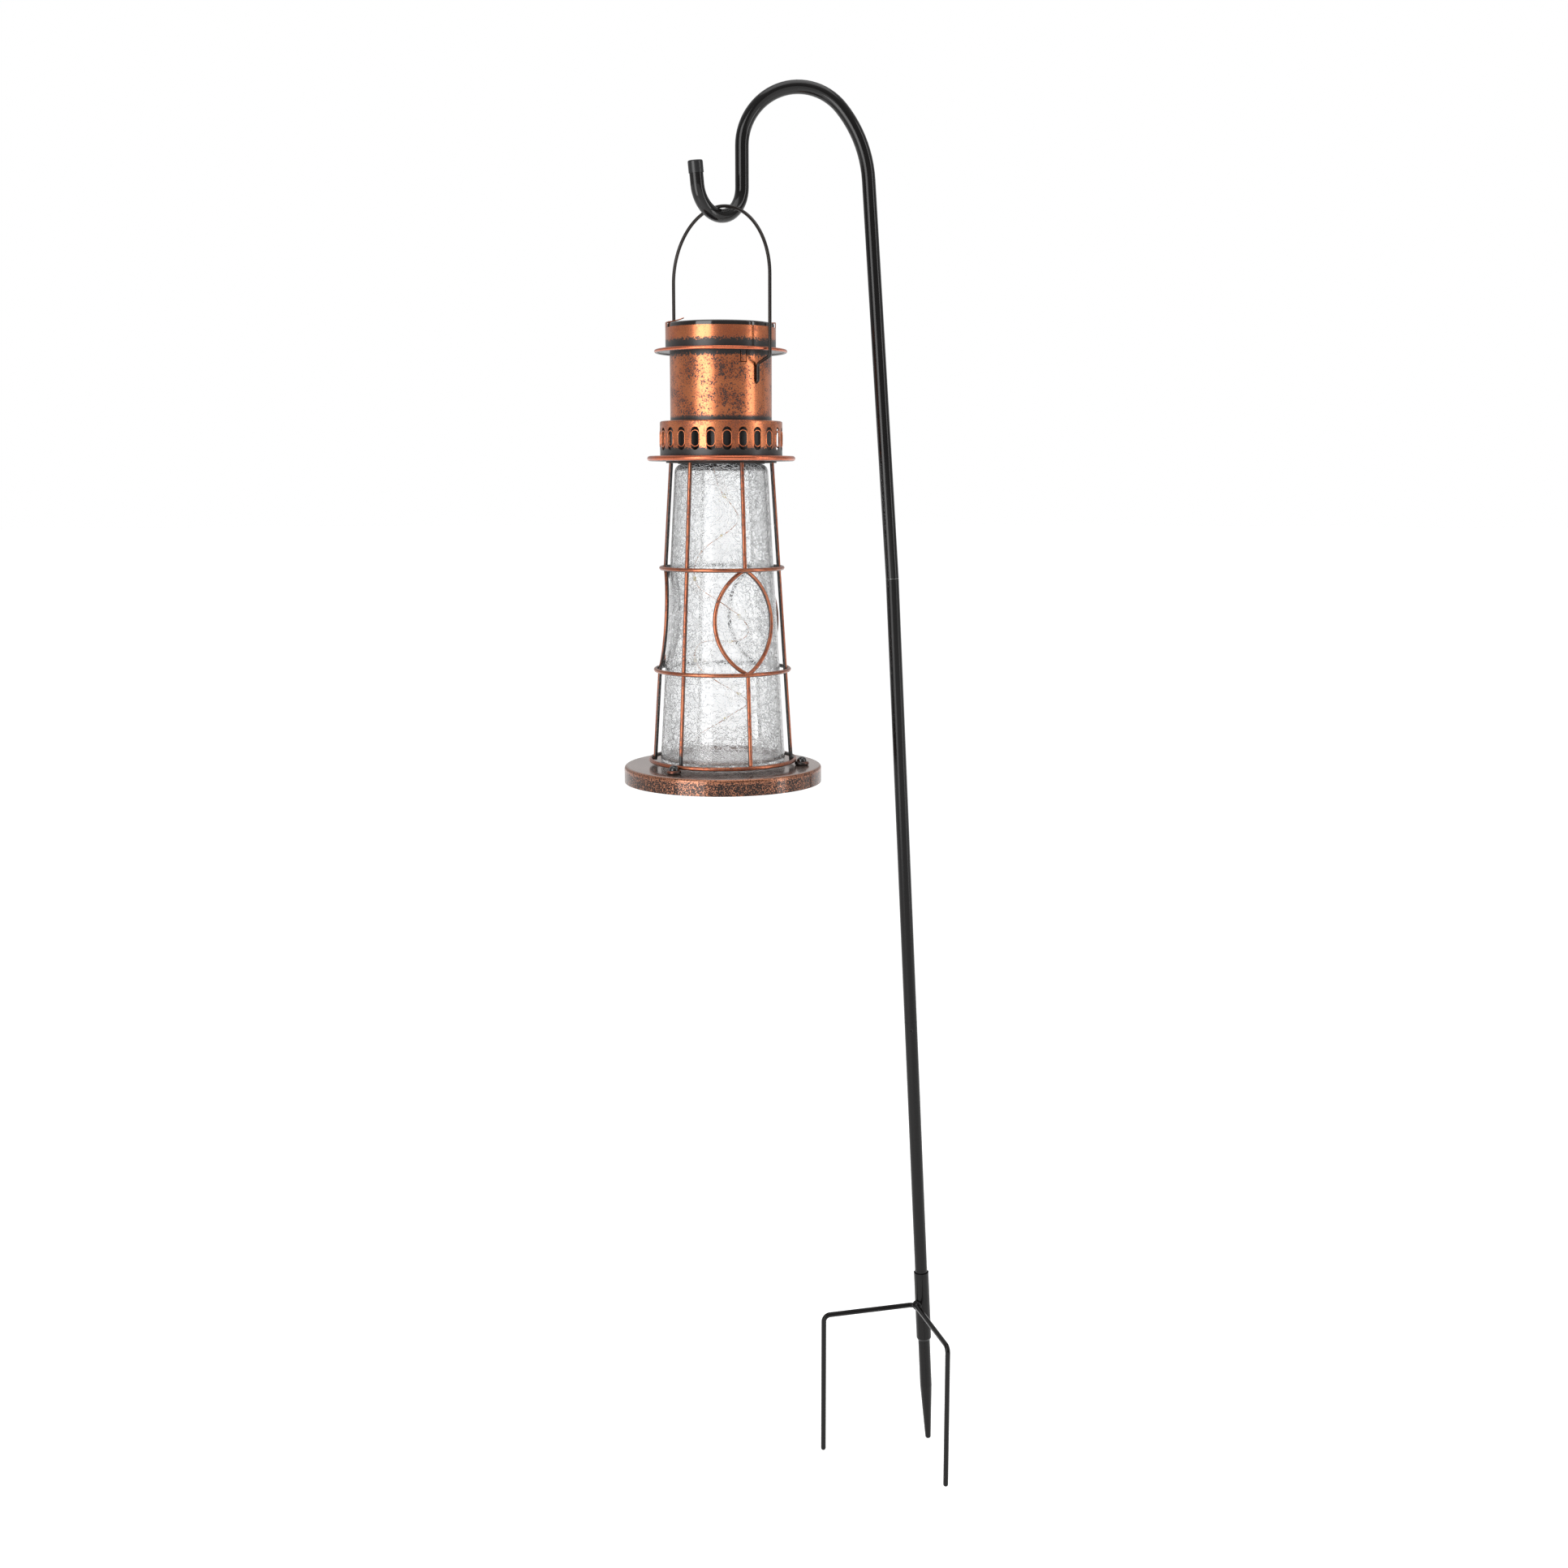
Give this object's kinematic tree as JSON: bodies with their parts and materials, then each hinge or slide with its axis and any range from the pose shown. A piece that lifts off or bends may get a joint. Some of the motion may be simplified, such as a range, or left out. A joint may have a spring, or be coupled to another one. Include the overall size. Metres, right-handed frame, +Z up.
{
  "type": "solar garden light",
  "caption": "Solar lantern with a crackle glass jar in a copper wire cage, hung by its bail from a sectional shepherd's hook with a fork stake.",
  "frame": {"origin": "on the pole's axis at soil level, just under the fork's arms", "axes": "+Z up, -X towards the lantern that hangs from the hook, -Y towards the side the fork reaches to"},
  "size_m": [0.2497, 0.15, 1.0642],
  "materials": {
    "black_steel": "satin-gloss black powder coat on steel",
    "bare_steel": "plain zinc plated steel",
    "cap_plastic": "moulded black cap",
    "dark_wire": "dark gunmetal wire",
    "bronzed_base": "dark bronze, finely mottled, glossy top",
    "black_screw": "gloss black",
    "cage_wire": "antique copper plate on steel wire, dark at the welds",
    "copper_sheet": "antique copper plate, fine dark speckle and dark patina bands",
    "copper_flange": "redder antique copper on the rolled rims",
    "crackle_glass": "clear crackle glass",
    "gasket_rubber": "black rubber",
    "panel_cover": "dark clear resin over the cell",
    "solar_silicon": "dark silicon cell",
    "housing_plastic": "black moulded plastic",
    "board_green": "green solder mask",
    "battery_sleeve": "shrink-wrapped rechargeable cell",
    "string_copper": "lacquered copper wire",
    "led_resin": "yellowish resin beads"
  },
  "bodies": {
    "stake": {"spike": "black_steel", "spike_collar": "black_steel", "fork_sleeve": "black_steel", "prong_fork": "black_steel", "fork_weld": "black_steel"},
    "lower_section": {"lower_pole": "black_steel", "lower_spigot": "bare_steel"},
    "middle_section": {"middle_pole": "black_steel", "upper_spigot": "bare_steel"},
    "hook_section": {"hook_tube": "black_steel", "hook_tip_cap": "cap_plastic"},
    "bail": {"bail": "dark_wire"},
    "lantern": {"base_pan": "bronzed_base", "dome_screws": "black_screw", "screw_nuts": "bare_steel", "cage_bottom_ring": "cage_wire", "cage_lower_ring": "cage_wire", "cage_upper_ring": "cage_wire", "cage_top_plate": "cage_wire", "glass_jar": "crackle_glass", "glass_gasket": "gasket_rubber", "gallery_deck": "copper_flange", "gallery_band": "copper_sheet", "head_cylinder": "copper_sheet", "upper_flange": "copper_flange", "eyelet_1": "cage_wire", "eyelet_2": "cage_wire", "eyelet_3": "cage_wire", "long_upright_1": "cage_wire", "long_upright_2": "cage_wire", "long_upright_3": "cage_wire", "lower_stub_1": "cage_wire", "lower_stub_2": "cage_wire", "lower_stub_3": "cage_wire", "upper_stub_1": "cage_wire", "upper_stub_2": "cage_wire", "upper_stub_3": "cage_wire", "window_loop_1": "cage_wire", "window_loop_2": "cage_wire", "window_loop_3": "cage_wire"},
    "lid": {"lid_skirt": "copper_sheet", "rim_tabs": "copper_sheet", "solar_window": "panel_cover", "solar_cell": "solar_silicon", "cell_housing": "housing_plastic", "circuit_board": "board_green", "housing_floor": "housing_plastic", "battery": "battery_sleeve", "battery_contacts": "bare_steel", "switch_body": "housing_plastic", "string_grommet": "gasket_rubber", "light_string": "string_copper", "led_beads": "led_resin"},
    "battery_hatch": {"battery_door": "housing_plastic", "door_screw": "bare_steel"},
    "switch_knob": {"switch_knob": "housing_plastic"}
  },
  "joints": [
    {"name": "lower_lift", "type": "slide", "parent": "stake", "child": "lower_section", "axis": [-0.0516, 0, 0.9987], "range_m": [0, 0.04]},
    {"name": "middle_lift", "type": "slide", "parent": "lower_section", "child": "middle_section", "axis": [-0.0516, 0, 0.9987], "range_m": [0, 0.04]},
    {"name": "hook_lift", "type": "slide", "parent": "middle_section", "child": "hook_section", "axis": [-0.0691, 0, 0.9976], "range_m": [0, 0.04]},
    {"name": "bail_swing", "type": "hinge", "parent": "hook_section", "child": "bail", "pos_m": [-0.15913, -0.01573, 0.8518], "axis": [0.7071, 0.7071, 0], "range_deg": [-20, 20]},
    {"name": "lantern_swing", "type": "hinge", "parent": "bail", "child": "lantern", "pos_m": [-0.15913, -0.01573, 0.7326], "axis": [0.7071, -0.7071, 0], "range_deg": [-90, 4]},
    {"name": "lid_lift", "type": "slide", "parent": "lantern", "child": "lid", "axis": [0, 0, 1], "range_m": [0, 0.05]},
    {"name": "hatch_drop", "type": "slide", "parent": "lid", "child": "battery_hatch", "axis": [0, 0, -1], "range_m": [0, 0.004]},
    {"name": "switch_slide", "type": "slide", "parent": "lid", "child": "switch_knob", "axis": [1, 0, 0], "range_m": [0, 0.003]}
  ]
}
